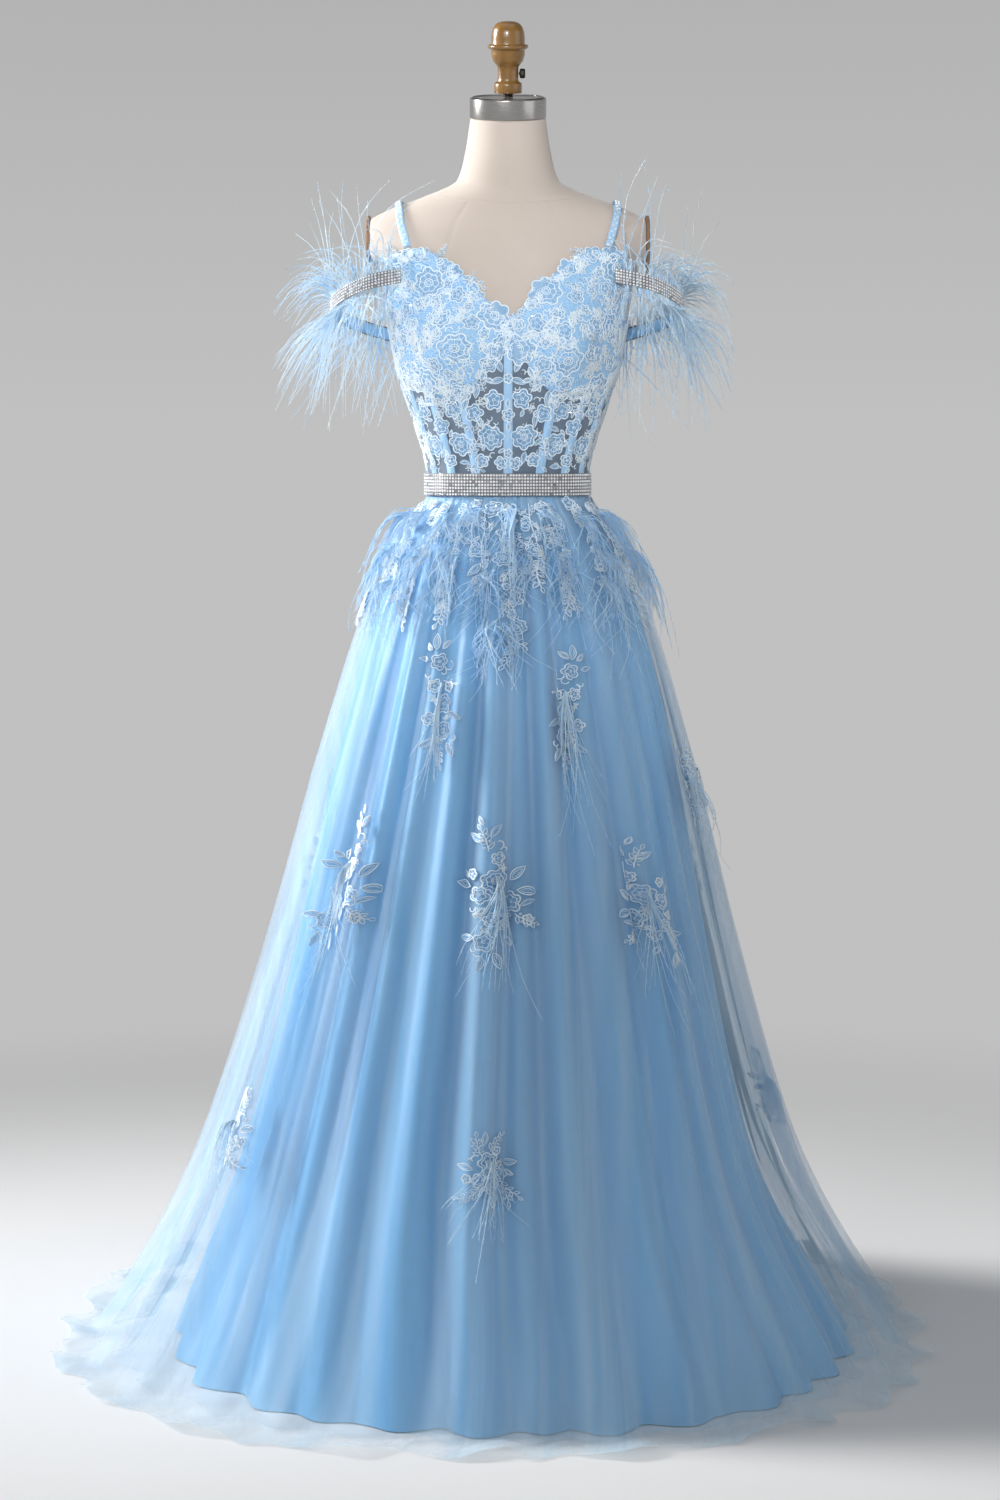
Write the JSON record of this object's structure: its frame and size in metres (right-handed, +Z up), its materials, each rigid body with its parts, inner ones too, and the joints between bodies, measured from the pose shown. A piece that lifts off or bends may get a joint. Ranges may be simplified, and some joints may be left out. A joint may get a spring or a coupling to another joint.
{
  "type": "ballroom gown on a dress form",
  "caption": "Floor-length A-line gown with lace corset bodice, feathered off-shoulder bands, beaded belt and tulle over satin, on a limbless dress form with pole and base.",
  "frame": {"origin": "on the floor, on the axis of the stand's pole, at the underside of its base", "axes": "+Z up, -Y the front of the gown, +X to the viewer's right as the gown is seen from the front; the train runs out to +Y"},
  "size_m": [1.1239, 1.2639, 1.6711],
  "materials": {
    "linen": "plain woven linen, matt",
    "lace": "corded lace, matt with a faint thread shine",
    "sheer_mesh": "sheer mesh with corded lace, matt",
    "satin": "satin, soft sheen",
    "tulle": "soft tulle, matt",
    "feather": "ostrich feather, matt",
    "zip_tape": "woven tape, matt",
    "rhinestones": "faceted stones in rows",
    "zip_metal": "painted, satin",
    "steel": "brushed",
    "dark_metal": "dark, semi-gloss",
    "finial_wood": "varnished, glossy",
    "arm_plate": "varnished, satin"
  },
  "bodies": {
    "gown_and_form": {"form_torso": "linen", "arm_plate_left": "arm_plate", "arm_plate_right": "arm_plate", "neck_cap": "steel", "stand_pole": "steel", "finial_rod": "dark_metal", "stand_base": "dark_metal", "finial": "finial_wood", "cup_left": "lace", "cup_right": "lace", "back_left": "lace", "back_right": "lace", "bone_front_1": "lace", "bone_front_2": "lace", "bone_front_3": "lace", "bone_front_4": "lace", "bone_front_5": "lace", "bone_front_6": "lace", "bone_front_7": "lace", "bone_back_1": "lace", "bone_back_2": "lace", "bone_back_3": "lace", "bone_back_4": "lace", "hip_lace": "lace", "lace_motif_1": "lace", "lace_motif_2": "lace", "lace_motif_3": "lace", "lace_motif_4": "lace", "lace_motif_5": "lace", "lace_motif_6": "lace", "lace_motif_7": "lace", "lace_motif_8": "lace", "lace_motif_9": "lace", "lace_motif_10": "lace", "lace_motif_11": "lace", "lace_motif_12": "lace", "corset_front": "sheer_mesh", "strap_left": "rhinestones", "strap_right": "rhinestones", "shoulder_band_left": "rhinestones", "shoulder_band_right": "rhinestones", "belt": "rhinestones", "shoulder_feathers_left": "feather", "shoulder_feathers_right": "feather", "hip_feathers": "feather", "zip_tape": "zip_tape", "zip_slider": "zip_metal", "underskirt_front": "satin", "underskirt_back_left": "satin", "underskirt_back_right": "satin", "tulle_front": "tulle", "tulle_back_left": "tulle", "tulle_back_right": "tulle"},
    "thumbscrew": {"thumbscrew": "dark_metal"},
    "zip_pull": {"zip_pull": "zip_metal"}
  },
  "joints": [
    {"name": "thumbscrew_turn", "type": "hinge", "parent": "gown_and_form", "child": "thumbscrew", "pos_m": [0, -0.01953, 1.60807], "axis": [1, 0, 0], "range_deg": [0, 360]},
    {"name": "zip_pull_flip", "type": "hinge", "parent": "gown_and_form", "child": "zip_pull", "pos_m": [0, 0.1122, 1.2575], "axis": [1, 0, 0], "range_deg": [0, 150]}
  ]
}
